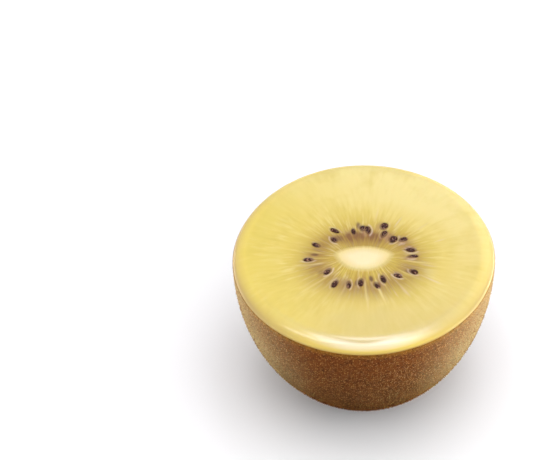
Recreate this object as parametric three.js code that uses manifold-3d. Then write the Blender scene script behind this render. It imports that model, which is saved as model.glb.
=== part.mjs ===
// Half of a golden kiwi fruit, cut crosswise and standing on its blunt stem end.
// Millimetres, +Z up. The origin is the centre of the flat spot that it rests on.
//
// The fruit grew as one thing. The cut shows tissues of three colours that each hold together,
// so it is three solids: a thin brown skin, the golden flesh with the seeds that sit in its cut
// face, and the pale core that runs down the middle.

import * as THREE from "three";
import { mergeVertices } from "three/addons/utils/BufferGeometryUtils.js";
import Module from "manifold-3d";

// Driving dimensions of the half fruit.
const FRUIT_RADIUS = 26; // at the cut, its widest place
const CUT_HEIGHT = 35; // from the resting spot up to the cut face
const FLANK_DEPTH = 38; // depth below the cut where the flank's curve would close
const FLANK_POWER = 2.165;
const FLANK_ROOT = 1.87;
const OVAL = 0.006; // how far the cross-section strays from round
const OVAL_SIDE = 0.5; // radians
const FOUR_SIDED = 0.0025;
const FOUR_SIDED_SIDE = 0.2;

// The blunt stem end.
const SHOULDER_HEIGHT = 4; // the flank's curve gives way to the shoulder here
const REST_OUTER_RADIUS = 7.2; // the flat spot is a ring between these two radii
const REST_INNER_RADIUS = 4.6;
const DIMPLE_RADIUS = 3.2;
const DIMPLE_HEIGHT = 1.1;
const SCAR_RADIUS = 2.5; // the woody ring that the stalk leaves
const SCAR_HEIGHT = 0.4;
const SCAR_EDGE_HEIGHT = 0.6;
const SCAR_PIT_RADIUS = 0.9;
const SCAR_PIT_HEIGHT = 0.8;

// Layers, and the gap that keeps them apart.
const SKIN_THICKNESS = 0.8;
const SKIN_EDGE_DROP = 1.9; // the skin's edge is this far below the cut face
const GAP = 0.3;
const RIM_WIDTH = 4.2; // the flesh rounds over gently from the cut face to its side
const RIM_INSET = 0.1;

// The cut face. Everything in it is laid out round the core, which is a little off centre.
const HEART_Y = -1.4;
const SEED_RING_X = 9.5;
const SEED_RING_Y = 7.6;
const CORE_X = 5.8;
const CORE_Y = 3.3;
const CORE_BOTTOM = 7;
const CORE_TAPER = 0.6; // below 1 keeps the core stout until close to its lower end
const CORE_CORNERS = 1.35; // above 1 draws its section out to two corners
const CORNERS_BACK = 0.8; // how far behind the heart the two corners lie
const CORE_DOME = 0.15;
const POCKET_HEADROOM = 2; // the shape that cuts the core's pocket ends this far above the cut

// Thin walls run out from the core between the seed chambers and stand a little proud.
const WALLS = 32;
const WALL_HEIGHT = 0.16;
const CHAMBER_DEPTH = 0.14;
const FACE_RADII = [18.5, 15.5, 13.4, 11.8, 10.5, 9.3, 8.2, 7.2, 6.2, 5, 0];

// Seeds.
const SEEDS = 21;
const SEED_LENGTH = 1.9;
const SEED_WIDTH = 1.2;
const SEED_THICKNESS = 0.95;
const SEED_TAPER = 0.5;
const SEED_SUNK = 0.1; // how far a seed's middle lies below the cut face
const SEED_TURN = 24; // degrees either way from pointing straight out
const CROWDING_SHIFT = 22; // degrees: the seeds crowd together on one side of the ring
const CROWDING = 14;
const CROWDING_SIDE = 65;
const ANGLE_STRAY = 14;
const RING_STRAY = 0.4;
const PLACE_DRAW = 4292618;
const SHAPE_DRAW = 71;

// How finely the round shapes are cut.
const SKIN_SIDES = 64;
const FLESH_SIDES = 4 * WALLS;
const CORE_SIDES = 40;
const SHOULDER_STEPS = 4;
const OUTSIDE_STEPS = 10;
const INSIDE_STEPS = 7;
const FLESH_STEPS = 5;
const RIM_STEPS = 7;
const CORE_STEPS = 6;
const SEED_AROUND = 9;
const SEED_ALONG = 7;

const wasm = await Module();
wasm.setup();

// A generator of even draws from 0 to 1 that gives the same ones each time.
function randomDraws(state) {
  return () => {
    state = (state + 0x6d2b79f5) | 0;
    let mixed = Math.imul(state ^ (state >>> 15), 1 | state);
    mixed = (mixed + Math.imul(mixed ^ (mixed >>> 7), 61 | mixed)) ^ mixed;
    return ((mixed ^ (mixed >>> 14)) >>> 0) / 4294967296;
  };
}

// Radius of the fruit at a height, above the shoulder.
function flankRadius(height) {
  const share = (CUT_HEIGHT - height) / FLANK_DEPTH;
  return FRUIT_RADIUS * (1 - share ** FLANK_POWER) ** (1 / FLANK_ROOT);
}

// How much wider or narrower than round the fruit is in a direction.
function swell(angle) {
  const oval = OVAL * Math.cos(2 * (angle - OVAL_SIDE));
  return 1 + oval + FOUR_SIDED * Math.cos(4 * (angle - FOUR_SIDED_SIDE));
}

// The profile from the resting ring up the shoulder and the flank to a height, drawn in by an inset.
function sideProfile(top, inset, flankSteps) {
  const shoulderTop = new THREE.Vector2(flankRadius(SHOULDER_HEIGHT), SHOULDER_HEIGHT);
  const step = 0.01;
  const slope = (flankRadius(SHOULDER_HEIGHT + step) - shoulderTop.x) / step;
  const shoulder = new THREE.QuadraticBezierCurve(
    new THREE.Vector2(REST_OUTER_RADIUS, 0),
    new THREE.Vector2(shoulderTop.x - slope * SHOULDER_HEIGHT, 0),
    shoulderTop,
  );
  const line = shoulder.getPoints(SHOULDER_STEPS);
  for (let i = 1; i <= flankSteps; i++) {
    const height = THREE.MathUtils.lerp(SHOULDER_HEIGHT, top, i / flankSteps);
    line.push(new THREE.Vector2(flankRadius(height), height));
  }
  const drawnIn = line.map((point, i) => {
    const before = line[Math.max(i - 1, 0)];
    const after = line[Math.min(i + 1, line.length - 1)];
    const along = after.clone().sub(before).normalize();
    return new THREE.Vector2(point.x - along.y * inset, point.y + along.x * inset);
  });
  drawnIn[drawnIn.length - 1].y = top;
  return drawnIn;
}

// The same profile inside the skin, closed across a floor to the axis.
function innerProfile(top, inset, flankSteps) {
  const floor = DIMPLE_HEIGHT + inset;
  const side = sideProfile(top, inset, flankSteps).filter((point) => point.y > floor + GAP);
  return [new THREE.Vector2(0, floor), new THREE.Vector2(side[0].x * 0.75, floor), ...side];
}

// Turns a profile about Z, then moves each point by a function of its radius and angle.
function turned(profile, sides, move) {
  const geometry = new THREE.LatheGeometry(profile, sides);
  geometry.rotateX(Math.PI / 2);
  const position = geometry.getAttribute("position");
  const point = new THREE.Vector3();
  for (let i = 0; i < position.count; i++) {
    point.fromBufferAttribute(position, i);
    move(point, Math.hypot(point.x, point.y), Math.atan2(point.y, point.x));
    position.setXYZ(i, point.x, point.y, point.z);
  }
  return geometry;
}

function swollen(point, radius, angle) {
  point.x *= swell(angle);
  point.y *= swell(angle);
}

// A closed three.js geometry as a solid that can be joined and cut.
function solidOf(geometry) {
  geometry.deleteAttribute("normal");
  geometry.deleteAttribute("uv");
  const merged = mergeVertices(geometry, 1e-4);
  return new wasm.Manifold(
    new wasm.Mesh({
      numProp: 3,
      vertProperties: merged.getAttribute("position").array,
      triVerts: new Uint32Array(merged.index.array),
    }),
  );
}

function geometryOf(solid) {
  const mesh = solid.getMesh();
  const geometry = new THREE.BufferGeometry();
  geometry.setAttribute("position", new THREE.BufferAttribute(mesh.vertProperties, 3));
  geometry.setIndex(new THREE.BufferAttribute(mesh.triVerts, 1));
  geometry.computeVertexNormals();
  return geometry;
}

// The skin is a thin cup. Underneath, the dimple of the stem end holds the stalk's woody scar.
function skinGeometry() {
  const edge = CUT_HEIGHT - SKIN_EDGE_DROP;
  const stemEnd = [
    new THREE.Vector2(0, SCAR_PIT_HEIGHT),
    new THREE.Vector2(SCAR_PIT_RADIUS * 0.6, SCAR_PIT_HEIGHT),
    new THREE.Vector2(SCAR_PIT_RADIUS, SCAR_HEIGHT),
    new THREE.Vector2(SCAR_RADIUS * 0.8, SCAR_HEIGHT),
    new THREE.Vector2(SCAR_RADIUS, SCAR_EDGE_HEIGHT),
    new THREE.Vector2(SCAR_RADIUS * 1.1, DIMPLE_HEIGHT),
    new THREE.Vector2(DIMPLE_RADIUS, DIMPLE_HEIGHT * 0.9),
    new THREE.Vector2((DIMPLE_RADIUS + REST_INNER_RADIUS) / 2, DIMPLE_HEIGHT * 0.4),
    new THREE.Vector2(REST_INNER_RADIUS, 0),
  ];
  const outside = sideProfile(edge, 0, OUTSIDE_STEPS);
  const inside = innerProfile(edge, SKIN_THICKNESS, INSIDE_STEPS).reverse();
  return turned([...stemEnd, ...outside, ...inside], SKIN_SIDES, swollen);
}

// Height of the walls and depth of the chambers, from the cut face.
// `ring` is 0 in the middle of the core and 1 on the ring of seeds.
function wallRelief(ring, angle) {
  const smooth = THREE.MathUtils.smoothstep;
  const wave = Math.cos(WALLS * angle);
  const wall = smooth(ring, 0.62, 0.85) * (1 - smooth(ring, 1.25, 2.1));
  const chamber = smooth(ring, 0.62, 0.9) * (1 - smooth(ring, 1.1, 1.5));
  return WALL_HEIGHT * wall * Math.max(wave, 0) - CHAMBER_DEPTH * chamber * Math.max(-wave, 0);
}

// The flesh fills the skin and rolls out over its edge in a rounded rim.
function fleshShape() {
  const rimBase = CUT_HEIGHT - SKIN_EDGE_DROP + GAP;
  const rimRadius = FRUIT_RADIUS - RIM_INSET;
  const rim = [];
  for (let i = 0; i <= RIM_STEPS; i++) {
    const turn = (i / RIM_STEPS) * (Math.PI / 2);
    const radius = rimRadius - RIM_WIDTH * (1 - Math.cos(turn));
    rim.push(new THREE.Vector2(radius, rimBase + (CUT_HEIGHT - rimBase) * Math.sin(turn)));
  }
  const side = innerProfile(rimBase, SKIN_THICKNESS + GAP, FLESH_STEPS);
  const face = FACE_RADII.map((radius) => new THREE.Vector2(radius, CUT_HEIGHT));
  return turned([...side, ...rim, ...face], FLESH_SIDES, (point, radius, angle) => {
    swollen(point, radius, angle);
    const onTop = point.z > rimBase + 1e-3;
    if (onTop) {
      point.y += HEART_Y * (1 - radius / FRUIT_RADIUS);
      const ring = Math.hypot(point.x / SEED_RING_X, (point.y - HEART_Y) / SEED_RING_Y);
      point.z += wallRelief(ring, angle);
    }
  });
}

// The core's section is an eye shape, and it narrows to a point above the stem end.
// Grown by the gap, and carried on above the cut, it is the shape of its pocket.
function coreShape(grow, headroom) {
  const bottom = CORE_BOTTOM - grow;
  const top = CUT_HEIGHT + headroom;
  const line = [new THREE.Vector2(0, bottom)];
  for (let i = 1; i <= CORE_STEPS; i++) {
    const share = i / CORE_STEPS;
    const width = Math.sin((share * Math.PI) / 2) ** CORE_TAPER;
    line.push(new THREE.Vector2(width, THREE.MathUtils.lerp(bottom, CUT_HEIGHT, share)));
  }
  if (headroom > 0) line.push(new THREE.Vector2(1, top));
  line.push(new THREE.Vector2(0.6, top + CORE_DOME * 0.7), new THREE.Vector2(0, top + CORE_DOME));
  return turned(line, CORE_SIDES, (point, share, angle) => {
    const side = Math.sin(angle);
    const across = (CORE_Y + grow) * Math.sign(side) * Math.abs(side) ** CORE_CORNERS;
    point.x = share * (CORE_X + grow) * Math.cos(angle);
    point.y = HEART_Y + share * (across + CORNERS_BACK * Math.abs(Math.cos(angle)) ** 3);
  });
}

// One seed lying along X: a drop, blunt outwards and narrow towards the core.
function seedShape(length, width) {
  const geometry = new THREE.SphereGeometry(0.5, SEED_AROUND, SEED_ALONG);
  geometry.rotateZ(Math.PI / 2);
  const position = geometry.getAttribute("position");
  for (let i = 0; i < position.count; i++) {
    const along = position.getX(i);
    const taper = 1 + SEED_TAPER * along;
    const across = position.getY(i) * width * taper;
    position.setXYZ(i, along * length, across, position.getZ(i) * SEED_THICKNESS * taper);
  }
  return geometry;
}

// The seeds follow each other round an oval ring, each straying a little from its place.
function seedSolids() {
  const place = randomDraws(PLACE_DRAW);
  const shape = randomDraws(SHAPE_DRAW);
  const radians = THREE.MathUtils.degToRad;
  const solids = [];
  for (let k = 0; k < SEEDS; k++) {
    const even = (360 * (k + 0.5)) / SEEDS;
    const crowd = CROWDING_SHIFT + CROWDING * Math.sin(radians(even - CROWDING_SIDE));
    const angle = radians(even - crowd + ANGLE_STRAY * (place() - 0.5));
    const ring = 1 + RING_STRAY * (place() - 0.5);
    const ovalRadius = 1 / Math.hypot(Math.cos(angle) / SEED_RING_X, Math.sin(angle) / SEED_RING_Y);
    const length = SEED_LENGTH * (0.85 + 0.3 * shape());
    const width = SEED_WIDTH * (0.7 + 0.5 * shape());
    const turn = radians(SEED_TURN * (2 * shape() - 1));
    const seed = seedShape(length, width);
    seed.rotateZ(angle + turn);
    seed.translate(
      ring * ovalRadius * Math.cos(angle),
      HEART_Y + ring * ovalRadius * Math.sin(angle),
      CUT_HEIGHT - SEED_SUNK,
    );
    solids.push(solidOf(seed));
  }
  return solids;
}

function fleshGeometry() {
  const pocket = solidOf(coreShape(GAP, POCKET_HEADROOM));
  let flesh = solidOf(fleshShape()).subtract(pocket);
  for (const seed of seedSolids()) flesh = flesh.add(seed);
  return geometryOf(flesh);
}

const TISSUES = [
  { name: "skin", geometry: skinGeometry(), color: 0x7a4a2a, roughness: 0.85 },
  { name: "flesh", geometry: fleshGeometry(), color: 0xe6ca5c, roughness: 0.3 },
  { name: "core", geometry: coreShape(0, 0), color: 0xf8ecc0, roughness: 0.45 },
];

const kiwi = new THREE.Group();
for (const { name, geometry, color, roughness } of TISSUES) {
  const material = new THREE.MeshStandardMaterial({ color, roughness, metalness: 0 });
  const mesh = new THREE.Mesh(geometry, material);
  mesh.name = name;
  kiwi.add(mesh);
}

export default kiwi;
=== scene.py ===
"""Looks of the golden kiwi fruit half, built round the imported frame.

Lengths are in millimetres until a mesh is made. The frame is the CAD's: +Z up, and the origin is
the centre of the flat spot that the half rests on.
"""

import math

import bpy
import numpy as np
from mathutils import Matrix, Vector


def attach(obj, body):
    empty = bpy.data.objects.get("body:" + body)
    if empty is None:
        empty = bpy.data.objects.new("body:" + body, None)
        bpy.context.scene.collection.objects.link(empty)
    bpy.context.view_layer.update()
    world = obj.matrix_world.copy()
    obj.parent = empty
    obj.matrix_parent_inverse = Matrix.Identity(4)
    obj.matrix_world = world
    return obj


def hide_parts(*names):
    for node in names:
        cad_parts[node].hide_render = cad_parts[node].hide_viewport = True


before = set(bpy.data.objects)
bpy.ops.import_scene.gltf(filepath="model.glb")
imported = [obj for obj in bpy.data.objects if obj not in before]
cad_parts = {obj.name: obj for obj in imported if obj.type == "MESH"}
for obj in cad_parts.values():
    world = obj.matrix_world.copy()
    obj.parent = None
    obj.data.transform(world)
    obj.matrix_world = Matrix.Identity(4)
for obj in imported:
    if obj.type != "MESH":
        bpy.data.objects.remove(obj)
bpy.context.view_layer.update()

MM = 0.001
TURN = 2 * math.pi

# The half fruit, with the CAD's driving dimensions.
FRUIT_RADIUS = 26.0
CUT_HEIGHT = 35.0
FLANK_DEPTH = 38.0
FLANK_POWER = 2.165
FLANK_ROOT = 1.87
OVAL, OVAL_SIDE = 0.006, 0.5
FOUR_SIDED, FOUR_SIDED_SIDE = 0.0025, 0.2
SHOULDER_HEIGHT = 4.0
REST_OUTER_RADIUS = 7.2
REST_INNER_RADIUS = 4.6
DIMPLE_RADIUS = 3.2
DIMPLE_HEIGHT = 1.1
SCAR_RADIUS = 2.5
SCAR_HEIGHT = 0.4
SCAR_PIT_RADIUS = 0.9
SCAR_PIT_HEIGHT = 0.8
SKIN_EDGE_DROP = 1.9
RIM_WIDTH = 4.2
RIM_INSET = 0.1
HEART_Y = -1.4
SEED_RING_X = 9.5
SEED_RING_Y = 7.6
CORE_X = 5.8
CORE_Y = 3.3
CORE_BOTTOM = 7.0
CORE_TAPER = 0.6
CORE_CORNERS = 1.35
CORNERS_BACK = 0.8
CORE_DOME = 0.15
WALLS = 32
SEEDS = 21
SEED_LENGTH = 1.9
SEED_WIDTH = 1.2
SEED_THICKNESS = 0.95
SEED_TAPER = 0.5
SEED_SUNK = 0.1
SEED_TURN = 24.0
CROWDING_SHIFT = 22.0
CROWDING = 14.0
CROWDING_SIDE = 65.0
ANGLE_STRAY = 14.0
RING_STRAY = 0.4
PLACE_DRAW = 4292618
SHAPE_DRAW = 71

# Threads and walls leave the core square to its side and straighten out further on, as the lines
# do that run across a family of ellipses with the same two focal points.
FOCUS = 4.8
THREADS = 46
GHOSTS = 9
FLECKS = 19

# Each seed is sunk and tilted a little in its own way, up to these amounts more than the CAD's.
SEED_EXTRA_SUNK = 0.28
SEED_TILT = 0.16
SEED_TIP = 0.03

# The visible peel is thinner than the CAD's skin, and meets the flesh without its gap.
PEEL_THICKNESS = 0.5
PEEL_GAP = 0.1

# How finely the pieces are cut.
COLUMNS = 576
PEEL_COLUMNS = 384
CORE_COLUMNS = 288
CORE_SIDE_ROWS = 10
RIM_ROWS = 22
SEED_COLUMNS = 28
SEED_ROWS = 18
EYE_STEPS = 2000


# ---------------------------------------------------------------- random draws and small maths

def draws(state):
    """Even draws from 0 to 1, the same ones each time, and the same as the CAD's."""
    mask = 0xFFFFFFFF
    while True:
        state = (state + 0x6D2B79F5) & mask
        mixed = ((state ^ (state >> 15)) * (1 | state)) & mask
        mixed = ((mixed + (mixed ^ (mixed >> 7)) * (61 | mixed)) & mask) ^ mixed
        yield ((mixed ^ (mixed >> 14)) & mask) / 2**32


def smooth(value, low, high):
    """0 below low, 1 above high, and a smooth step between them."""
    share = np.clip((value - low) / (high - low), 0, 1)
    return share * share * (3 - 2 * share)


def bump(value, width):
    """A soft hill, 1 at 0 and close to nothing beyond two widths."""
    return np.exp(-((value / width) ** 2))


def wrapped(angle):
    """An angle brought to between minus and plus half a turn."""
    return (angle + math.pi) % TURN - math.pi


def around(count):
    """That many directions, evenly spread over a full turn."""
    return np.arange(count) / count * TURN


# ---------------------------------------------------------------- the fruit's form

def flank_radius(height):
    share = (CUT_HEIGHT - height) / FLANK_DEPTH
    return FRUIT_RADIUS * (1 - share**FLANK_POWER) ** (1 / FLANK_ROOT)


def swell(angle):
    """How much wider or narrower than round the fruit is in a direction."""
    oval = OVAL * np.cos(2 * (angle - OVAL_SIDE))
    return 1 + oval + FOUR_SIDED * np.cos(4 * (angle - FOUR_SIDED_SIDE))


def side_profile(top, inset, shoulder_steps, flank_steps):
    """Points (radius, height) from the resting ring up to a height, drawn in by an inset."""
    joint = flank_radius(SHOULDER_HEIGHT)
    step = 0.01
    slope = (flank_radius(SHOULDER_HEIGHT + step) - joint) / step
    start, bend = (REST_OUTER_RADIUS, 0.0), (joint - slope * SHOULDER_HEIGHT, 0.0)
    t = np.linspace(0, 1, shoulder_steps + 1)[:, None]
    shoulder = (1 - t) ** 2 * start + 2 * t * (1 - t) * bend + t**2 * (joint, SHOULDER_HEIGHT)
    heights = np.linspace(SHOULDER_HEIGHT, top, flank_steps + 1)[1:]
    line = np.vstack([shoulder, np.column_stack([flank_radius(heights), heights])])
    along = np.gradient(line, axis=0)
    along /= np.linalg.norm(along, axis=1)[:, None]
    drawn_in = line + inset * np.column_stack([-along[:, 1], along[:, 0]])
    drawn_in[-1, 1] = top
    return drawn_in


def eye_radius(direction, corners_back):
    """Distance from the middle of the core's eye shape to its edge, in a direction."""
    turn = np.linspace(-TURN, TURN, 2 * EYE_STEPS + 1)
    side = np.sin(turn)
    x = CORE_X * np.cos(turn)
    y = CORE_Y * np.sign(side) * np.abs(side) ** CORE_CORNERS
    y = y + corners_back * np.abs(np.cos(turn)) ** 3
    way = np.unwrap(np.arctan2(y, x))
    way -= TURN * round(way[EYE_STEPS] / TURN)
    return np.interp(wrapped(direction), way, np.hypot(x, y))


def core_radius(direction):
    """Distance from the heart of the cut face to the core's edge."""
    return eye_radius(direction, CORNERS_BACK)


def core_outline(direction):
    """The core's edge in each direction, as seen from the heart of the cut face."""
    way = np.column_stack([np.cos(direction), np.sin(direction)])
    return core_radius(direction)[:, None] * way


def core_line():
    """Heights up the core, and the share of its full width at each."""
    share = np.linspace(0.02, 1, CORE_SIDE_ROWS)
    width = np.sin(share * math.pi / 2) ** CORE_TAPER
    height = CORE_BOTTOM + (CUT_HEIGHT - CORE_BOTTOM) * share
    return height[:, None, None], width[:, None, None]


def seed_places():
    """One row for each seed: x, y, the direction it points in, its length and its width."""
    place, shape = draws(PLACE_DRAW), draws(SHAPE_DRAW)
    rows = []
    for k in range(SEEDS):
        even = 360 * (k + 0.5) / SEEDS
        crowd = CROWDING_SHIFT + CROWDING * math.sin(math.radians(even - CROWDING_SIDE))
        angle = math.radians(even - crowd + ANGLE_STRAY * (next(place) - 0.5))
        ring = 1 + RING_STRAY * (next(place) - 0.5)
        oval = 1 / math.hypot(math.cos(angle) / SEED_RING_X, math.sin(angle) / SEED_RING_Y)
        length = SEED_LENGTH * (0.85 + 0.3 * next(shape))
        width = SEED_WIDTH * (0.7 + 0.5 * next(shape))
        turn = math.radians(SEED_TURN * (2 * next(shape) - 1))
        x, y = ring * oval * math.cos(angle), HEART_Y + ring * oval * math.sin(angle)
        rows.append((x, y, angle + turn, length, width))
    return np.array(rows)


# ---------------------------------------------------------------- meshes

def make_piece(name, points, faces, rounded=True):
    """A piece of the scene from points in millimetres."""
    mesh = bpy.data.meshes.new(name)
    mesh.from_pydata((points * MM).tolist(), [], faces)
    mesh.update()
    mesh.polygons.foreach_set("use_smooth", [rounded] * len(mesh.polygons))
    piece = bpy.data.objects.new(name, mesh)
    bpy.context.scene.collection.objects.link(piece)
    return piece


def add_mark(mesh, name, values):
    """Stores a row of one or three numbers at each point, for the material to read."""
    kind, field = ("FLOAT", "value") if values.shape[1] == 1 else ("FLOAT_VECTOR", "vector")
    mesh.attributes.new(name, kind, "POINT").data.foreach_set(field, values.ravel())


def grid_faces(rows, columns, first=0):
    """Quads between rows of points that each close on themselves."""
    row, column = np.meshgrid(np.arange(rows - 1), np.arange(columns), indexing="ij")
    after = (column + 1) % columns
    corners = [row * columns + column, row * columns + after,
               (row + 1) * columns + after, (row + 1) * columns + column]
    return (first + np.stack([c.ravel() for c in corners], axis=1)).tolist()


def cap_faces(rows, columns, first=0):
    """Triangles that close the first and the last row to two poles, stored after the grid."""
    low = first + rows * columns
    last = low - columns
    faces = []
    for column in range(columns):
        after = (column + 1) % columns
        faces.append([low, first + after, first + column])
        faces.append([low + 1, last + column, last + after])
    return faces


def turned_mesh(name, rows, marks, creases=()):
    """A closed body from rows of points, the first and last of which are closed to a pole.

    rows is rows x columns x 3, with the faces pointing out when the rows run from the bottom
    up the outside. marks holds one number or vector for each point of the grid, by name. The
    rows named in creases keep a hard edge.
    """
    count, columns = rows.shape[:2]
    faces = grid_faces(count, columns) + cap_faces(count, columns)
    piece = make_piece(name, with_poles(rows), faces)
    for mark, values in marks.items():
        add_mark(piece.data, mark, with_poles(values.reshape(count, columns, -1)))
    crease(piece.data, columns, creases)
    return piece


def with_poles(rows):
    """Rows of values as one list, followed by the means of the first and of the last row."""
    return np.vstack([rows.reshape(-1, rows.shape[2]), rows[0].mean(axis=0), rows[-1].mean(axis=0)])


def crease(mesh, columns, rows):
    """Marks the edges that run along these rows as hard."""
    ends = np.zeros(len(mesh.edges) * 2, dtype=np.int64)
    mesh.edges.foreach_get("vertices", ends)
    row_of = ends.reshape(-1, 2) // columns
    hard = (row_of[:, 0] == row_of[:, 1]) & np.isin(row_of[:, 0], rows)
    mesh.attributes.new("sharp_edge", "BOOLEAN", "EDGE").data.foreach_set("value", hard)


def at_height(points, height):
    """Rows of (x, y) with a height added to each."""
    return np.concatenate([points, np.broadcast_to(height, points.shape[:2] + (1,))], axis=2)


def turned_rows(line, angle, shift=0.0):
    """A profile of (radius, height) turned about the axis, with its rows moved along Y by shift."""
    radius, height = line[:, :1], line[:, 1:]
    x = radius * swell(angle) * np.cos(angle)
    y = radius * swell(angle) * np.sin(angle) + shift
    return np.stack([x, y, np.broadcast_to(height, x.shape)], axis=2)


# ---------------------------------------------------------------- the cut face

def fan_lines(count, state):
    """Directions of lines that fan out round the core, each with three draws of its own."""
    stray = draws(state)
    for k in range(count):
        direction = TURN * (k + 0.7 * next(stray)) / count
        yield direction, next(stray), next(stray), next(stray)


class CutFace:
    """Marks and heights over the cut face, for points in millimetres.

    ring is 0 at the heart and 1 on the ring of seeds; eye is 1 at the core's edge. fan is the
    direction in which the threads and walls run at a point, and pace is how many millimetres
    one radian of it takes up there. front is 0 behind the core and 1 before it.
    """

    def __init__(self, x, y):
        self.x, self.y = x, y
        self.reach = np.hypot(x, y - HEART_Y)
        direction = np.arctan2(y - HEART_Y, x)
        self.ring = np.hypot(x / SEED_RING_X, (y - HEART_Y) / SEED_RING_Y)
        self.beyond = self.reach - core_radius(direction)
        level = np.arccosh((x + 1j * (y - HEART_Y)) / FOCUS)
        self.fan = level.imag
        self.pace = FOCUS * np.abs(np.sinh(level))
        self.front = smooth(-np.sin(self.fan), -0.5, 0.8)
        self.seed_marks()
        self.blot_marks()
        self.line_marks()

    def soft_eye(self):
        """The core's glow, a little towards the front, with its crispest edge at the back."""
        centre = HEART_Y - 0.45
        direction = np.arctan2(self.y - centre, self.x)
        eye = np.hypot(self.x, self.y - centre) / eye_radius(direction, 1.4 * CORNERS_BACK)
        crisp = 1.3 - 0.3 * self.front
        return np.where(eye > 0.85, 0.85 + (eye - 0.85) * crisp, eye)

    def seed_marks(self):
        """Round each seed: a pit, a painted brown shade, a veil on one side and, on the other, a
        pale lip that is a painted glint.
        """
        self.pit, self.veil, self.lip, self.shade = (np.zeros(self.x.shape) for _ in range(4))
        stray = draws(9)
        for x, y, direction, length, width in seed_places():
            along, across = self.turned_to(x, y, direction)
            side = 1 if next(stray) < 0.5 else -1
            distance = np.hypot(along / (length / 2), across / (width / 2))
            self.pit = np.maximum(self.pit, 1 - smooth(distance, 0.95, 1.3))
            # Painted shade: a brown ring round the seed's edge.
            self.shade = np.maximum(self.shade, 1 - smooth(distance, 0.9, 1.45))
            aside = across + side * width * 0.5
            drawn = np.hypot((along + 0.2 * length) / (length * 0.85), aside / (width * 0.75))
            strength = next(stray)
            self.veil = np.maximum(self.veil, strength * (1 - smooth(drawn, 0.3, 1.1)))
            # Painted glint: a pale lip on one side of the seed.
            edge = bump(distance - 1.5, 0.28) * smooth(side * across, 0.0, 0.4)
            self.lip = np.maximum(self.lip, edge * next(stray))

    def blot_marks(self):
        """Ghosts of seeds that lie just below the cut, and pale flecks outside the seeds, which are
        painted glints kept with the lips.
        """
        self.ghost = np.zeros(self.x.shape)
        for direction, inward, size, strength in fan_lines(GHOSTS, 13):
            place = (0.78 + 0.4 * inward, direction)
            blot = self.blot(place, 0.8 + 0.4 * size, 0.4 + 0.2 * size)
            share = 0.4 + 0.6 * strength
            self.ghost = np.maximum(self.ghost, share * (1 - smooth(blot, 0.4, 1.3)))
        for direction, outward, size, strength in fan_lines(FLECKS, 17):
            place = (1.35 + 0.45 * outward, direction)
            blot = self.blot(place, 1.0 + 1.6 * size, 0.15 + 0.15 * size)
            share = strength * smooth(math.cos(direction), -0.2, 0.6)
            self.lip = np.maximum(self.lip, share * (1 - smooth(blot, 0.2, 1.2)))

    def blot(self, place, length, width):
        """Distance from the middle of a long spot, which is 1 at its length and at its width."""
        ring, direction = place
        x = ring * SEED_RING_X * math.cos(direction)
        y = HEART_Y + ring * SEED_RING_Y * math.sin(direction)
        along, across = self.turned_to(x, y, direction)
        return np.hypot(along / length, across / width)

    def turned_to(self, x, y, direction):
        """How far along and across a direction each point lies from a place."""
        c, s = math.cos(direction), math.sin(direction)
        return (self.x - x) * c + (self.y - y) * s, (self.y - y) * c - (self.x - x) * s

    def line_marks(self):
        """Fine pale threads from the core to the seeds, and walls that run on beyond them."""
        self.thread, self.wall = np.zeros(self.x.shape), np.zeros(self.x.shape)
        for direction, strength, end, phase in fan_lines(THREADS, 21):
            sideways = self.from_line(direction, phase)
            last = 0.75 + 0.45 * end
            line = bump(sideways, 0.11) * (0.2 + 0.8 * strength**2) * (0.15 + 0.85 * self.front)
            line = line * smooth(self.beyond, -0.3, 0.5) * (1 - smooth(self.ring, last - 0.3, last))
            self.thread = np.maximum(self.thread, line)
        for direction, strength, end, phase in fan_lines(WALLS, 5):
            sideways = self.from_line(direction, phase)
            last = 1.25 + (0.35 + 0.65 * self.front) * (0.3 + 0.7 * end)
            line = bump(sideways, 0.1 + 0.1 * self.ring) * (0.12 + 0.88 * strength**2)
            line = line * (0.3 + 0.7 * self.front)
            line = line * smooth(self.ring, 0.75, 1.0) * (1 - smooth(self.ring, last - 0.6, last))
            self.wall = np.maximum(self.wall, line)

    def from_line(self, direction, phase):
        """Distance across to a line that fans out in a direction and wavers a little."""
        waver = 0.012 * np.sin(4 * self.ring + TURN * phase)
        return wrapped(self.fan - direction - waver) * self.pace

    def relief(self):
        """Height over the flat of the cut: walls proud, chambers sunk, seeds in shallow pits."""
        near = smooth(self.ring, 0.62, 0.9) * (1 - smooth(self.ring, 1.1, 1.6))
        wave = np.cos(WALLS * self.fan)
        height = 0.03 * self.wall + 0.015 * self.thread - 0.035 * near * np.maximum(-wave, 0)
        height += 0.04 * self.lip + 0.22 * self.veil**1.5 - 0.06 * self.pit
        ripple = np.sin(self.fan * 9 + self.reach * 0.5) * np.sin(self.fan * 5 - 1.3)
        outside = smooth(self.ring, 1.3, 1.9) * (1 - smooth(self.reach, 17, 20))
        return height + 0.02 * ripple * outside

    def haze(self):
        """A brownish ring where the seeds are, which reaches in to the core at the back."""
        back = smooth(np.sin(self.fan), 0.55, 1.0)
        left = smooth(-np.cos(self.fan), 0.6, 1.0)
        front_left = bump(wrapped(self.fan + 2.5), 0.4)
        middle = 0.98 - 0.2 * back + 0.08 * self.front
        spread = np.where(self.ring < middle, 0.24 + 0.08 * back, 0.17 + 0.3 * self.front)
        strength = 0.5 + 0.6 * back + 0.08 * left + 0.1 * self.front - 0.14 * front_left
        return bump(self.ring - middle, spread) * strength

    def marks(self):
        """What the material reads at each point, with all the numbers kept between 0 and 1."""
        return {
            "fan": np.stack([np.cos(self.fan), np.sin(self.fan), self.reach], axis=-1),
            "ring": self.ring / 3,
            "eye": np.minimum(self.soft_eye() / 2, 1),
            "haze": self.haze(),
            "ghost": self.ghost,
            "shade": self.shade,
            "veil": self.veil,
            "thread": self.thread,
            "wall": self.wall,
            "lip": self.lip,
        }


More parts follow.
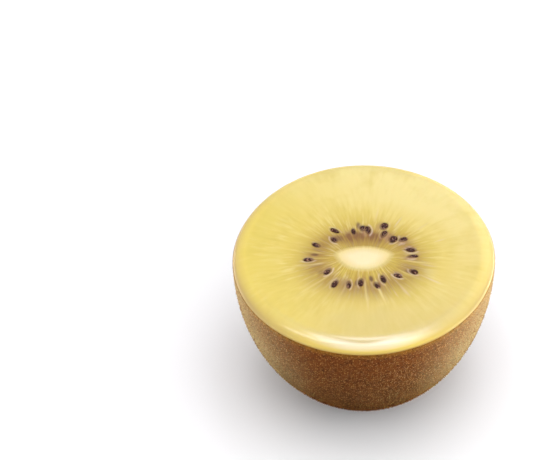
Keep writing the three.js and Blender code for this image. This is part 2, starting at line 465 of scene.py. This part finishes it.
def marks_of(cut, before, after=0):
    """The cut face's marks, carried on unchanged over the rows before and after it."""
    carried = {}
    for name, values in cut.marks().items():
        repeats = np.ones(len(values), dtype=np.int64)
        repeats[0] += before
        repeats[-1] += after
        carried[name] = np.repeat(values, repeats, axis=0)
    return carried


def rim_start(angle):
    """Where the rounded rim leaves the cut face."""
    radius = FRUIT_RADIUS - RIM_INSET - RIM_WIDTH
    shift = HEART_Y * (1 - radius / FRUIT_RADIUS)
    x = radius * swell(angle) * np.cos(angle)
    return np.stack([x, radius * swell(angle) * np.sin(angle) + shift], axis=-1)


def face_steps():
    """Shares of the way from the core's edge to the rim, closest together among the seeds."""
    fine = np.linspace(0, 0.46, 84)
    wide = np.linspace(0.46, 1, 38)[1:]
    return np.concatenate([[0, 0.002], fine[1:], wide])


def rim_rows(angle):
    """The rounded rim, from the cut face over to the upright edge of the peel."""
    turn = np.linspace(math.pi / 2, 0, RIM_ROWS + 1)[1:]
    radius = FRUIT_RADIUS - RIM_INSET - RIM_WIDTH * (1 - np.cos(turn))
    height = CUT_HEIGHT - SKIN_EDGE_DROP * (1 - np.sin(turn))
    shift = HEART_Y * (1 - radius / FRUIT_RADIUS)
    return turned_rows(np.column_stack([radius, height]), angle, shift[:, None])


def hidden_rows(angle):
    """The flesh's side inside the peel, closed across its floor."""
    inset = PEEL_THICKNESS + PEEL_GAP
    side = side_profile(CUT_HEIGHT - SKIN_EDGE_DROP - 0.4, inset, 4, 10)[::-1]
    floor = DIMPLE_HEIGHT + inset
    side = side[side[:, 1] > floor + 0.3]
    return turned_rows(np.vstack([side, [side[-1, 0] * 0.75, floor], [0.5, floor]]), angle)


def make_flesh():
    """The flesh from the core's pocket, over the cut face and its rim, and down inside the peel."""
    angle = around(COLUMNS)
    heart = np.array([0, HEART_Y])
    outer = rim_start(angle)
    inner = heart + core_outline(np.arctan2(outer[:, 1] - HEART_Y, outer[:, 0]))
    heights, shares = core_line()
    pocket = at_height(heart + (inner - heart) * shares[:-1], heights[:-1])
    face = at_height(inner + (outer - inner) * face_steps()[:, None, None], CUT_HEIGHT)
    top = np.concatenate([face, rim_rows(angle)])
    hidden = hidden_rows(angle)
    cut = CutFace(top[:, :, 0], top[:, :, 1])
    top[:len(face), :, 2] += cut.relief()[:len(face)]
    rows = np.concatenate([pocket, top, hidden])
    marks = marks_of(cut, len(pocket), len(hidden))
    drop = (CUT_HEIGHT - rows[:, :, 2]) / SKIN_EDGE_DROP
    marks["rim"] = np.clip(drop, 0, 1) * (np.hypot(rows[:, :, 0], rows[:, :, 1]) > 15)
    return turned_mesh("golden_flesh", rows, marks, creases=[len(pocket)])


def make_core():
    """The core, whose top shares its edge with the flesh."""
    heart = np.array([0, HEART_Y])
    outline = core_outline(around(CORE_COLUMNS))
    heights, shares = core_line()
    side = at_height(heart + outline * shares, heights)
    inward = np.linspace(1, 0.03, 40)[1:, None, None]
    top = at_height(heart + outline * inward, CUT_HEIGHT + CORE_DOME * (1 - inward**2) ** 2)
    rows = np.concatenate([side, top])
    edge = len(side) - 1
    marks = marks_of(CutFace(rows[edge:, :, 0], rows[edge:, :, 1]), edge)
    marks["rim"] = np.zeros(rows.shape[:2])
    return turned_mesh("pale_core", rows, marks, creases=[edge])


# ---------------------------------------------------------------- seeds

def make_seeds():
    """Every seed the cut lays bare: a blunt drop with a fine net of pits, half in the flesh."""
    stray = draws(33)
    turn = around(SEED_COLUMNS)
    tilt = np.linspace(0, math.pi, SEED_ROWS + 2)[1:-1][:, None]
    points, faces = [], []
    for number, (x, y, direction, length, width) in enumerate(seed_places()):
        u = np.broadcast_to(-np.cos(tilt), (SEED_ROWS, SEED_COLUMNS))
        net = 1 + 0.03 * np.cos(9 * turn + 4 * number) * np.sin(14 * tilt) * np.sin(tilt)
        stout = (1 + SEED_TAPER * u / 2) * net
        along = u * length / 2
        across = np.sin(tilt) * np.cos(turn) * width / 2 * stout
        upward = np.sin(tilt) * np.sin(turn) * SEED_THICKNESS / 2 * stout
        level = CUT_HEIGHT - SEED_SUNK - SEED_EXTRA_SUNK * next(stray)
        slope = SEED_TILT * (2 * next(stray) - 1)
        c, s = math.cos(direction), math.sin(direction)
        east = x + along * c - across * s
        north = y + along * s + across * c
        drop = with_poles(np.stack([east, north, level + slope * along + upward], axis=2))
        drop[-2:] += np.outer([-SEED_TIP, SEED_TIP], [c, s, 0])
        grid = (SEED_ROWS, SEED_COLUMNS, number * len(drop))
        points.append(drop)
        faces += grid_faces(*grid) + cap_faces(*grid)
    return make_piece("seeds", np.vstack(points), faces)


# ---------------------------------------------------------------- peel and down

def stem_end_profile():
    """The underside of the stem end, from the axis out to the resting ring."""
    return np.array([
        (SCAR_PIT_RADIUS * 0.3, SCAR_PIT_HEIGHT),
        (SCAR_PIT_RADIUS * 0.7, SCAR_PIT_HEIGHT * 0.95),
        (SCAR_PIT_RADIUS, SCAR_HEIGHT * 1.2),
        (SCAR_PIT_RADIUS * 1.3, SCAR_HEIGHT),
        (SCAR_RADIUS * 0.75, SCAR_HEIGHT),
        (SCAR_RADIUS * 0.92, SCAR_HEIGHT * 1.3),
        (SCAR_RADIUS, SCAR_HEIGHT * 2),
        (SCAR_RADIUS * 1.1, DIMPLE_HEIGHT),
        (DIMPLE_RADIUS, DIMPLE_HEIGHT * 0.9),
        ((DIMPLE_RADIUS + REST_INNER_RADIUS) / 2, DIMPLE_HEIGHT * 0.4),
        (REST_INNER_RADIUS * 0.95, DIMPLE_HEIGHT * 0.08),
        (REST_INNER_RADIUS, 0),
    ])


def peel_profile():
    """The peel's section, from the stem end up the outside, over its edge and down the inside."""
    edge = CUT_HEIGHT - SKIN_EDGE_DROP
    outside = side_profile(edge, 0, 16, 90)
    lip = np.array([(FRUIT_RADIUS - 0.03, edge + 0.02), (FRUIT_RADIUS - 0.25, edge + 0.02)])
    floor = DIMPLE_HEIGHT + PEEL_THICKNESS
    inside = side_profile(edge - 0.2, PEEL_THICKNESS, 4, 10)[::-1]
    inside = inside[inside[:, 1] > floor + 0.2]
    closing = [(inside[-1, 0] * 0.75, floor), (0.4, floor)]
    return np.vstack([stem_end_profile(), outside, lip, inside, closing])


def make_peel():
    rows = turned_rows(peel_profile(), around(PEEL_COLUMNS))
    level = np.clip(rows[:, :, 2] / (CUT_HEIGHT - SKIN_EDGE_DROP), 0, 1)
    scar = 1 - smooth(np.hypot(rows[:, :, 0], rows[:, :, 1]), SCAR_RADIUS, SCAR_RADIUS * 1.15)
    scar = scar * (rows[:, :, 2] < DIMPLE_HEIGHT + 0.1)
    return turned_mesh("peel", rows, {"level": level, "scar": scar})


def make_down(name, count, state, length, thickness, lean):
    """Hairs all over the peel: slim three-sided needles with their roots sunk in it.

    lean holds the least and the most that a hair leans over, in degrees. The hairs grow shorter
    towards the cut.
    """
    rng = np.random.default_rng(state)
    profile = side_profile(CUT_HEIGHT - SKIN_EDGE_DROP - 0.25, 0, 40, 200)
    steps = np.linalg.norm(np.diff(profile, axis=0), axis=1)
    area = steps * (profile[1:, 0] + profile[:-1, 0]) / 2
    share = np.concatenate([[0], np.cumsum(area)]) / area.sum()
    tangent = np.gradient(profile, axis=0)
    tangent /= np.linalg.norm(tangent, axis=1)[:, None]
    where = (np.arange(count) + rng.random(count)) / count
    spots = np.hstack([profile, tangent])
    radius, height, up_r, up_z = (np.interp(where, share, line) for line in spots.T)
    angle = rng.random(count) * TURN
    c, s = np.cos(angle), np.sin(angle)
    root = np.stack([radius * swell(angle) * c, radius * swell(angle) * s, height], axis=1)
    normal = np.stack([up_z * c, up_z * s, -up_r], axis=1)
    upward = np.stack([up_r * c, up_r * s, up_z], axis=1)
    sideways = np.stack([-s, c, np.zeros(count)], axis=1)
    way = rng.random(count) * TURN
    over = np.radians(lean[0] + (lean[1] - lean[0]) * rng.random(count))
    flat = np.cos(way)[:, None] * sideways + np.sin(way)[:, None] * upward
    axis = np.cos(over)[:, None] * normal + np.sin(over)[:, None] * flat
    reach = length * (0.6 + 0.6 * rng.random(count)) * (1 - 0.4 * smooth(height, 26, 32))
    tip = root + axis * reach[:, None]
    tip[:, 2] = np.maximum(tip[:, 2], 0.02)
    corners = []
    for turn in around(3):
        off = np.cos(turn) * sideways + np.sin(turn) * upward
        corners.append(root - 0.04 * normal + thickness / 2 * off)
    points = np.stack(corners + [tip], axis=1).reshape(-1, 3)
    base = np.arange(count)[:, None] * 4
    faces = np.concatenate([base + [0, 1, 3], base + [1, 2, 3], base + [2, 0, 3]])
    piece = make_piece(name, points, faces.tolist(), rounded=False)
    add_mark(piece.data, "tone", np.repeat(rng.random(count), 4)[:, None])
    return piece


# ---------------------------------------------------------------- materials

def colour(red, green, blue):
    """A screen colour, 0 to 255, as the linear one that a shader takes."""
    parts = np.array([red, green, blue]) / 255
    linear = np.where(parts <= 0.04045, parts / 12.92, ((parts + 0.055) / 1.055) ** 2.4)
    return (*linear.tolist(), 1.0)


class Shader:
    """A node material, and short ways to add nodes to it."""

    def __init__(self, name):
        self.material = bpy.data.materials.new(name)
        self.material.use_nodes = True
        self.tree = self.material.node_tree
        self.surface = self.tree.nodes["Principled BSDF"]
        self.place = self.node("ShaderNodeTexCoord").outputs["Object"]
        here = self.node("ShaderNodeSeparateXYZ", {0: self.place}).outputs
        self.x, self.y, self.z = here["X"], here["Y"], here["Z"]

    def node(self, kind, inputs=None, **settings):
        node = self.tree.nodes.new(kind)
        for name, value in settings.items():
            setattr(node, name, value)
        for socket, value in (inputs or {}).items():
            self.feed(node.inputs[socket], value)
        return node

    def feed(self, socket, value):
        if isinstance(value, bpy.types.NodeSocket):
            self.tree.links.new(value, socket)
        else:
            socket.default_value = value

    def set(self, **values):
        for name, value in values.items():
            self.feed(self.surface.inputs[name.replace("_", " ")], value)

    def mark(self, name):
        return self.node("ShaderNodeAttribute", attribute_name=name).outputs["Fac"]

    def math(self, operation, a, b=0.0):
        return self.node("ShaderNodeMath", {0: a, 1: b}, operation=operation).outputs[0]

    def product(self, first, *others):
        for other in others:
            first = self.math("MULTIPLY", first, other)
        return first

    def mix(self, share, a, b):
        node = self.node("ShaderNodeMix", {0: share, 6: a, 7: b}, data_type="RGBA")
        return node.outputs[2]

    def range(self, value, low, high, to_low=0.0, to_high=1.0):
        node = self.node("ShaderNodeMapRange", {0: value, 1: low, 2: high, 3: to_low, 4: to_high})
        return node.outputs[0]

    def noise(self, scale, detail=2.0, place=None):
        inputs = {"Vector": place or self.place, "Scale": scale, "Detail": detail}
        return self.node("ShaderNodeTexNoise", inputs).outputs["Fac"]

    def cells(self, scale, feature="F1"):
        inputs = {"Vector": self.place, "Scale": scale}
        return self.node("ShaderNodeTexVoronoi", inputs, feature=feature).outputs

    def bump(self, height, distance, strength):
        inputs = {"Height": height, "Distance": distance, "Strength": strength}
        return self.node("ShaderNodeBump", inputs).outputs["Normal"]


IVORY = colour(255, 236, 190)
CREAM = colour(241, 218, 147)
OLIVE = colour(195, 161, 62)
GOLD = colour(228, 203, 98)
# The gold's left and right colours, its front colour and the pale flesh colour at the back paint
# light and shade over the cut: paler to the right and at the back, duller at the front. The pale
# colour is also used for the pale streaks.
GOLD_LEFT = colour(233, 210, 100)
GOLD_RIGHT_PAINTED_LIGHT = colour(236, 214, 128)
GOLD_FRONT_PAINTED_SHADE = colour(221, 199, 124)
FLESH_PALE_AND_PAINTED_LIGHT = colour(252, 236, 167)
FLESH_DEEP = colour(218, 194, 86)
HAZE_BROWN = colour(136, 92, 54)
HAZE_MAUVE = colour(140, 95, 66)
# The rim's shade and side colours are painted shade: grey high up at the rim's front, darker at the
# fruit's two sides.
RIM_SHADE = colour(208, 186, 118)
RIM_GOLD = colour(228, 198, 80)
RIM_SIDE_PAINTED_SHADE = colour(178, 152, 90)
RIM_DEEP = colour(160, 116, 40)

# The marks drawn on the cut, in the order they go over one another: how strong each is at its
# fullest, and its colour.
DRAWN_MARKS = (
    ("ghost", 0.85, colour(98, 58, 46)),
    ("veil", 0.7, colour(176, 134, 100)),
    ("thread", 0.85, colour(240, 216, 112)),
    ("wall", 0.9, colour(238, 218, 152)),
    # lip: painted glints, pale wet highlights beside the seeds and on flecks outside them.
    ("lip", 0.6, colour(234, 210, 190)),
    # shade: painted shade, a brown ring round each seed's edge.
    ("shade", 0.7, colour(96, 56, 40)),
)

# How wet the flat of the cut is, and the front of its rim.
FACE_WET = 0.4
RIM_WET = 1.0


class CutShader(Shader):
    """The cut's look. Flesh and core share it, so the core's soft edge runs across both."""

    def __init__(self, name):
        super().__init__(name)
        self.aside = self.math("ABSOLUTE", self.x)
        self.wide = self.streaks(8, 5)
        self.narrow = self.streaks(22, 4, 3.0)
        self.clouds = self.noise(150, 3.0)
        self.ring = self.mark("ring")
        self.rim = self.mark("rim")
        base = self.gold()
        base = self.streaked(base)
        base = self.hazed(base)
        for mark, strength, tint in DRAWN_MARKS:
            base = self.mix(self.product(self.mark(mark), strength), base, tint)
        base = self.rimmed(base)
        base = self.cored(base)
        self.set(Base_Color=base, Roughness=0.5, IOR=1.35)
        self.set(Coat_Weight=self.wetness(), Coat_Roughness=0.14, Coat_IOR=2.2)
        self.set(Subsurface_Weight=0.3, Subsurface_Scale=0.001, Subsurface_Radius=(1.0, 0.75, 0.3))
        fibres = self.product(self.streaks(34, 1.5, 3.0), self.range(self.rim, 0, 0.05, 1, 0))
        self.set(Normal=self.bump(fibres, 0.00006, 0.35))

    def streaks(self, fineness, length, detail=2.0):
        """Noise drawn out along the lines that fan out from the core; length is in millimetres."""
        fan = self.node("ShaderNodeAttribute", attribute_name="fan").outputs["Vector"]
        scale = (fineness, fineness, 1 / length)
        drawn = self.node("ShaderNodeVectorMath", {0: fan, 1: scale}, operation="MULTIPLY")
        return self.noise(1.0, detail, drawn.outputs[0])

    def gold(self):
        """Olive round the core, then gold with painted light on it: palest at the back and to the
        right, dullest at the front.
        """
        wavered = self.math("ADD", self.ring, self.range(self.narrow, 0, 1, -0.05, 0.05))
        base = self.mix(self.range(wavered, 0.32, 0.55), OLIVE, GOLD)
        outer = self.range(self.ring, 0.4, 0.7)
        # Painted light: the gold is paler to the right.
        side = self.mix(self.range(self.x, -0.022, 0.006), GOLD_LEFT, GOLD_RIGHT_PAINTED_LIGHT)
        base = self.mix(outer, base, side)
        # Painted shade: the gold is duller at the front.
        before = self.range(self.y, -0.008, -0.02, 0, 0.7)
        before = self.product(before, self.range(self.x, -0.014, -0.002), outer)
        base = self.mix(before, base, GOLD_FRONT_PAINTED_SHADE)
        # Painted light: the gold is palest at the back.
        behind = self.product(self.range(self.slanted(), 0.004, 0.022, 0, 0.62), outer)
        return self.mix(behind, base, FLESH_PALE_AND_PAINTED_LIGHT)

    def slanted(self):
        """How far a point lies to the back, and a little to the right."""
        return self.math("ADD", self.y, self.product(self.x, 0.4))

    def streaked(self, base):
        """Pale and deep streaks, strongest round the seeds and faintest far back and far front."""
        both = self.math("ADD", self.product(self.wide, 0.6), self.narrow)
        near = self.product(
            self.range(self.ring, 0.45, 0.75, 0.9, 0.3),
            self.range(self.clouds, 0.35, 0.6, 0.3, 1),
            self.range(self.y, -0.02, -0.008, 0.5, 1),
            self.range(self.slanted(), -0.002, 0.01, 1, 0.6),
        )
        base = self.mix(self.product(self.range(both, 0.8, 1.0, 0, 0.7), near), base, FLESH_PALE_AND_PAINTED_LIGHT)
        base = self.mix(self.product(self.range(both, 0.8, 0.62, 0, 0.9), near), base, FLESH_DEEP)
        return self.mix(self.range(self.clouds, 0.5, 0.75, 0, 0.4), base, FLESH_DEEP)

    def hazed(self, base):
        """The brown haze round the seeds, broken up by the streaks, and more mauve at the front."""
        broken = self.range(self.math("ADD", self.wide, self.narrow), 0.75, 1.25, 0.55, 1.2)
        haze = self.product(self.mark("haze"), broken)
        hazy = self.mix(self.range(self.y, -0.004, -0.011), HAZE_BROWN, HAZE_MAUVE)
        return self.mix(self.range(haze, 0, 1, 0, 0.95), base, hazy)

    def rimmed(self, base):
        """The rounded rim, deeper towards the peel, with painted shade on it: darker at the fruit's
        two sides, and grey high up at its very front.
        """
        edge = self.mix(self.range(self.rim, 0.7, 1.0), RIM_GOLD, RIM_DEEP)
        # Painted shade: the rim darkens towards the fruit's two sides, where the side strips light
        # it.
        edge = self.mix(self.range(self.aside, 0.01, 0.022), edge, RIM_SIDE_PAINTED_SHADE)
        base = self.mix(self.range(self.rim, 0.1, 0.6), base, edge)
        # Painted grey shade high up on the front of the rim.
        front = self.product(
            self.range(self.rim, 0.0, 0.15),
            self.range(self.rim, 0.3, 0.6, 1, 0),
            self.range(self.aside, 0.004, 0.01, 1, 0),
            self.range(self.y, 0, -0.01),
        )
        return self.mix(front, base, RIM_SHADE)

    def cored(self, base):
        """The pale core, over all the rest."""
        eye = self.math("ADD", self.mark("eye"), self.range(self.narrow, 0, 1, -0.05, 0.05))
        core = self.mix(self.range(eye, 0.22, 0.46), IVORY, CREAM)
        return self.mix(self.range(eye, 0.42, 0.57, 1, 0), base, core)

    def wetness(self):
        """The coat's weight: full on the front of the rim, least at the peel and in the haze."""
        front = self.product(
            self.range(self.rim, 0.0, 0.05),
            self.range(self.aside, 0.014, 0.022, RIM_WET - FACE_WET, 0.05),
            self.range(self.y, 0.004, -0.01),
        )
        wet = self.math("ADD", front, FACE_WET)
        wet = self.product(wet, self.range(self.rim, 0.7, 0.92, 1, 0.15))
        wet = self.math("SUBTRACT", wet, self.product(self.mark("haze"), 0.2))
        return self.math("MAXIMUM", wet, 0.1)


def seed_material():
    shader = Shader("seed_coat")
    ridge = shader.range(shader.cells(3400.0, "DISTANCE_TO_EDGE")["Distance"], 0.0, 0.22)
    dark = shader.mix(ridge, colour(78, 36, 26), colour(44, 14, 10))
    spot = shader.range(shader.noise(2300, 1.0), 0.54, 0.66, 0, 0.8)
    base = shader.mix(spot, dark, colour(164, 118, 96))
    shader.set(Base_Color=base, Roughness=0.55, IOR=1.3, Coat_Weight=0.25, Coat_Roughness=0.15)
    shader.set(Normal=shader.bump(ridge, -0.00006, 0.6))
    return shader.material


# The low peel colour and the low down colour are painted shade: they darken the peel and its hairs
# towards the foot.
PEEL_LOW_PAINTED_SHADE = colour(56, 30, 14)
PEEL_HIGH = colour(114, 61, 27)
PEEL_EDGE = colour(142, 96, 34)
PEEL_GRAIN = colour(60, 32, 16)
PEEL_BLOTCH = colour(130, 76, 36)
PEEL_PORE = colour(60, 32, 18)
PEEL_FLECK = colour(182, 122, 66)
PEEL_SCAR = colour(70, 48, 34)
DOWN_LOW_PAINTED_SHADE = colour(44, 16, 5)


def peel_material():
    """Brown peel with grain, blotches, pores and flecks, and painted shade that darkens it towards
    its foot.

    The down too fine to be made as hairs is sheen, in tufts. It is densest high up and towards
    the fruit's two sides.
    """
    shader = Shader("downy_peel")
    level = shader.mark("level")
    # Painted shade: the peel darkens towards its foot.
    base = shader.mix(shader.range(level, 0.25, 1.0), PEEL_LOW_PAINTED_SHADE, PEEL_HIGH)
    base = shader.mix(shader.range(level, 0.96, 1.0), base, PEEL_EDGE)
    grain = shader.noise(1500, 2.0)
    base = shader.mix(shader.range(grain, 0.42, 0.7, 0, 0.7), base, PEEL_GRAIN)
    blotch = shader.noise(230, 3.0)
    base = shader.mix(shader.range(blotch, 0.45, 0.75, 0, 0.25), base, PEEL_BLOTCH)
    pore = shader.range(shader.cells(620.0)["Distance"], 0.08, 0.2, 0.7, 0)
    base = shader.mix(pore, base, PEEL_PORE)
    cells = shader.cells(3000.0)
    chosen = shader.node("ShaderNodeSeparateColor", {0: cells["Color"]}).outputs[0]
    dot = shader.range(cells["Distance"], 0.25, 0.5, 1, 0)
    speck = shader.product(dot, shader.range(chosen, 0.35, 0.8))
    # Painted shade: the pale flecks fade low down.
    fleck = shader.product(speck, shader.range(level, 0.1, 0.7, 0.15, 0.6))
    base = shader.mix(fleck, base, PEEL_FLECK)
    base = shader.mix(shader.mark("scar"), base, PEEL_SCAR)
    shader.set(Base_Color=base, Roughness=0.8, Specular_IOR_Level=0.0)
    aside = shader.range(shader.math("ABSOLUTE", shader.x), 0.009, 0.019, 0.15, 1)
    tuft = shader.range(shader.noise(3200, 1.0), 0.35, 0.65, 0.45, 1.3)
    dense = shader.product(aside, tuft, shader.range(level, 0.3, 0.75))
    shader.set(Sheen_Weight=shader.math("MINIMUM", dense, 1.0))
    shader.set(Sheen_Roughness=0.38, Sheen_Tint=(1.0, 0.89, 0.46, 1.0))
    shader.set(Normal=shader.bump(speck, 0.00006, 0.8))
    return shader.material


def down_material(name, dark, light):
    """Hairs that let light through, each of its own tone, with painted shade that darkens them low
    down on the fruit.
    """
    shader = Shader(name)
    base = shader.mix(shader.mark("tone"), dark, light)
    # Painted shade: the hairs darken low down.
    base = shader.mix(shader.range(shader.z, 0.006, 0.031, 0.95, 0), base, DOWN_LOW_PAINTED_SHADE)
    shader.set(Base_Color=base, Roughness=0.7, Specular_IOR_Level=0.0)
    shader.set(Subsurface_Weight=1.0, Subsurface_Scale=0.0001, Subsurface_Radius=(1.0, 1.0, 1.0))
    return shader.material


# ---------------------------------------------------------------- stage, light and camera

def make_floor():
    bpy.ops.mesh.primitive_plane_add(size=6)
    floor = bpy.context.object
    floor.name = "floor"
    shader = Shader("pale_floor")
    shader.set(Base_Color=colour(250, 251, 255), Roughness=0.9)
    floor.data.materials.append(shader.material)


def make_light(name, place, aim, size, brightness, tint):
    """An oval softbox that is equally bright all over, whatever its size."""
    data = bpy.data.lights.new(name, "AREA")
    data.shape = "ELLIPSE"
    data.size, data.size_y = size
    data.energy = brightness * math.pi * (math.pi / 4) * size[0] * size[1]
    data.color = tint
    lamp = bpy.data.objects.new(name, data)
    lamp.location = place
    lamp.rotation_euler = (Vector(aim) - Vector(place)).to_track_quat("-Z", "Y").to_euler()
    lamp.visible_camera = False
    bpy.context.scene.collection.objects.link(lamp)
    return lamp


SOFTBOX_HEIGHT = 0.535
# Its oval panels: centre, size and brightness of each. Each panel is two ovals, one inside the
# other, so that its edge is soft. They all hang a little above one another, since a ray meets only
# one of two lamps in the same plane. The wide ones overlap, so that the light fades towards the
# front. The others narrow towards the back, and the short slot among them leaves a dark line in
# the rim's gloss.
PANEL_STEP = 0.004
WIDE_PANELS = (
    ((0.10, -0.34), (0.68, 0.70), 1.15),
    ((0.05, -0.14), (0.42, 0.34), 0.9),
    ((0.0, -0.03), (0.62, 0.13), 0.8),
    ((-0.22, -0.02), (0.26, 0.15), 0.8),
    ((0.03, -0.04), (0.32, 0.14), 0.6),
)
BACK_PANELS = (
    ((-0.09, 0.07), (0.12, 0.18), 2.6),
    ((0.12, 0.07), (0.17, 0.24), 1.6),
    ((0.073, 0.09), (0.07, 0.20), 2.1),
    ((0.01, 0.225), (0.14, 0.12), 2.4),
    ((0.015, 0.33), (0.10, 0.20), 0.6),
)
WHITE = (1, 1, 1)
COOL = (0.88, 0.88, 1.0)

# Two low strips beside the fruit, which light the down on its sides: name, place, brightness and
# tint. They leave no reflection in the wet rim.
STRIP_AIM = (0, 0, 0.012)
STRIP_SIZE = (0.26, 0.024)
SIDE_STRIPS = (
    ("left_box", (-0.18, 0.05, 0.012), 21.0, (1, 0.98, 1)),
    ("right_box", (0.18, 0.03, 0.012), 47.0, (0.95, 1, 1)),
)


def make_softbox():
    panels = [(panel, WHITE) for panel in WIDE_PANELS] + [(panel, COOL) for panel in BACK_PANELS]
    height = SOFTBOX_HEIGHT
    for number, (((x, y), size, brightness), tint) in enumerate(panels):
        for part, share in (("outer", 1.15), ("inner", 0.85)):
            oval = (size[0] * share, size[1] * share)
            name = f"overhead_{number}_{part}"
            make_light(name, (x, y, height), (x, y, 0), oval, brightness / 2, tint)
            height += PANEL_STEP


def make_lights():
    make_softbox()
    for name, place, brightness, tint in SIDE_STRIPS:
        strip = make_light(name, place, STRIP_AIM, STRIP_SIZE, brightness, tint)
        strip.visible_glossy = False
    world = bpy.data.worlds.new("studio")
    world.use_nodes = True
    background = world.node_tree.nodes["Background"]
    background.inputs["Color"].default_value = colour(255, 253, 246)
    background.inputs["Strength"].default_value = 0.56
    bpy.context.scene.world = world


PHOTO_SIZE = (542, 460)
CAMERA_ELEVATION = math.radians(46.5)
CAMERA_DISTANCE = 0.550
FOCAL_PIXELS = 2768
FACE_CENTRE_PIXEL = (363.7, 251.5)
SENSOR_WIDTH = 36.0


def make_camera():
    """Looks at the cut face from the front, turned so the half stands where the photo has it."""
    data = bpy.data.cameras.new("camera")
    data.sensor_width = SENSOR_WIDTH
    data.lens = FOCAL_PIXELS / PHOTO_SIZE[0] * SENSOR_WIDTH
    data.clip_start, data.clip_end = 0.05, 20
    camera = bpy.data.objects.new("camera", data)
    target = Vector((0, 0, CUT_HEIGHT * MM))
    right = Vector((1, 0, 0))
    back = Vector((0, -math.cos(CAMERA_ELEVATION), math.sin(CAMERA_ELEVATION)))
    camera.location = target + back * CAMERA_DISTANCE
    aside = (FACE_CENTRE_PIXEL[0] - PHOTO_SIZE[0] / 2) / FOCAL_PIXELS
    below = (FACE_CENTRE_PIXEL[1] - PHOTO_SIZE[1] / 2) / FOCAL_PIXELS
    backward = (back + right * aside - back.cross(right) * below).normalized()
    upward = backward.cross(right).normalized()
    turned = Matrix((upward.cross(backward), upward, backward)).transposed()
    camera.rotation_euler = turned.to_euler()
    bpy.context.scene.collection.objects.link(camera)
    bpy.context.scene.camera = camera


# ---------------------------------------------------------------- putting it together

def dress(piece, material, slot, *nodes):
    """Gives a piece its material and hides the CAD nodes that it stands for. slot is not used."""
    piece.data.materials.append(material)
    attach(piece, "root")
    if nodes:
        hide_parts(*nodes)


bpy.context.scene.view_settings.view_transform = "Standard"

dress(make_flesh(), CutShader("wet_flesh").material, "flesh", "flesh")
dress(make_core(), CutShader("wet_core").material, "core", "core")
dress(make_seeds(), seed_material(), "seeds")
dress(make_peel(), peel_material(), "skin", "skin")
fine = down_material("fine_down", colour(84, 40, 16), colour(184, 116, 60))
dress(make_down("down", 16000, 3, 0.28, 0.065, (0, 30)), fine, "skin")
dress(make_down("short_down", 12000, 5, 0.2, 0.07, (0, 30)), fine, "skin")
stubby = down_material("stubby_down", colour(84, 42, 18), colour(164, 106, 54))
dress(make_down("scurf", 6000, 4, 0.24, 0.18, (10, 60)), stubby, "skin")

make_floor()
make_lights()
make_camera()
